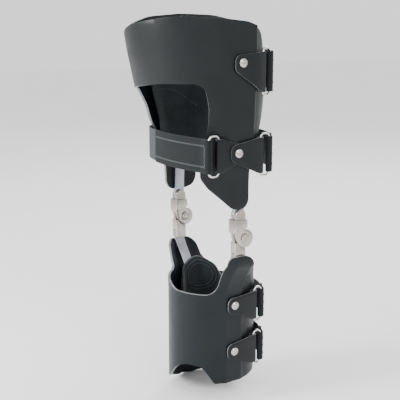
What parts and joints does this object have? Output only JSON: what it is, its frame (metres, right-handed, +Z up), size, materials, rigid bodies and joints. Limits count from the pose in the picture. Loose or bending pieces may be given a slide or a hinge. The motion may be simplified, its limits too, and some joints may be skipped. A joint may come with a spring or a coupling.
{
  "type": "knee orthosis with drop lock joints",
  "caption": "Hinged knee brace: dark moulded thigh and calf shells, soft linings, strap loops, and metal side bars with ring-locked knee joints.",
  "frame": {"origin": "middle of the knee axis, halfway between the two knee joints", "axes": "+Z up along the leg, -Y towards the front of the leg, +X towards the outer side of the leg; the knee axis lies along X"},
  "size_m": [0.178, 0.1673, 0.4635],
  "materials": {
    "shell": "dark blue-grey moulded shell, low sheen",
    "liner": "dark soft lining",
    "leather": "dark smooth leather, pale cut edge",
    "webbing": "dark woven tape",
    "steel_bar": "brushed",
    "nickel": "bright plate, satin",
    "rivet_steel": "polished",
    "brass": "machined"
  },
  "bodies": {
    "thigh": {"lateral_inner_cheek": "nickel", "lateral_outer_cheek": "nickel", "lateral_pivot_nut": "nickel", "lateral_pivot_screw": "nickel", "lateral_upper_upright": "steel_bar", "medial_inner_cheek": "nickel", "medial_lower_thigh_rivet": "rivet_steel", "medial_outer_cheek": "nickel", "medial_pivot_nut": "nickel", "medial_pivot_screw": "nickel", "medial_upper_thigh_rivet": "rivet_steel", "medial_upper_upright": "steel_bar", "thigh_front_loop": "nickel", "thigh_front_strap": "webbing", "thigh_front_tab": "leather", "thigh_liner": "liner", "thigh_rear_lower_loop": "nickel", "thigh_rear_lower_strap": "webbing", "thigh_rear_lower_tab": "leather", "thigh_rear_lower_tab_rivet": "rivet_steel", "thigh_shell": "shell", "thigh_upper_loop": "nickel", "thigh_upper_strap": "webbing", "thigh_upper_tab": "leather", "thigh_upper_tab_rivet": "rivet_steel"},
    "lateral_ring": {"lateral_lock_ring": "nickel"},
    "medial_ring": {"medial_lock_ring": "nickel"},
    "shank": {"calf_liner": "liner", "calf_lower_loop": "nickel", "calf_lower_strap": "webbing", "calf_lower_tab": "leather", "calf_lower_tab_rivet": "rivet_steel", "calf_shell": "shell", "calf_upper_loop": "nickel", "calf_upper_strap": "webbing", "calf_upper_tab": "leather", "calf_upper_tab_rivet": "rivet_steel", "lateral_lower_joint_bar": "nickel", "lateral_lower_upright": "steel_bar", "lateral_pivot_bushing": "brass", "medial_lower_calf_rivet": "rivet_steel", "medial_lower_joint_bar": "nickel", "medial_lower_upright": "steel_bar", "medial_pivot_bushing": "brass", "medial_upper_calf_rivet": "rivet_steel"}
  },
  "joints": [
    {"name": "knee", "type": "hinge", "parent": "thigh", "child": "shank", "pos_m": [0, 0, 0], "axis": [1, 0, 0], "range_deg": [0, 100]},
    {"name": "lateral_ring_slide", "type": "slide", "parent": "thigh", "child": "lateral_ring", "axis": [0, 0, 1], "range_m": [-0.0018, 0.01]},
    {"name": "medial_ring_slide", "type": "slide", "parent": "thigh", "child": "medial_ring", "axis": [0, 0, 1], "range_m": [-0.0018, 0.01]}
  ]
}
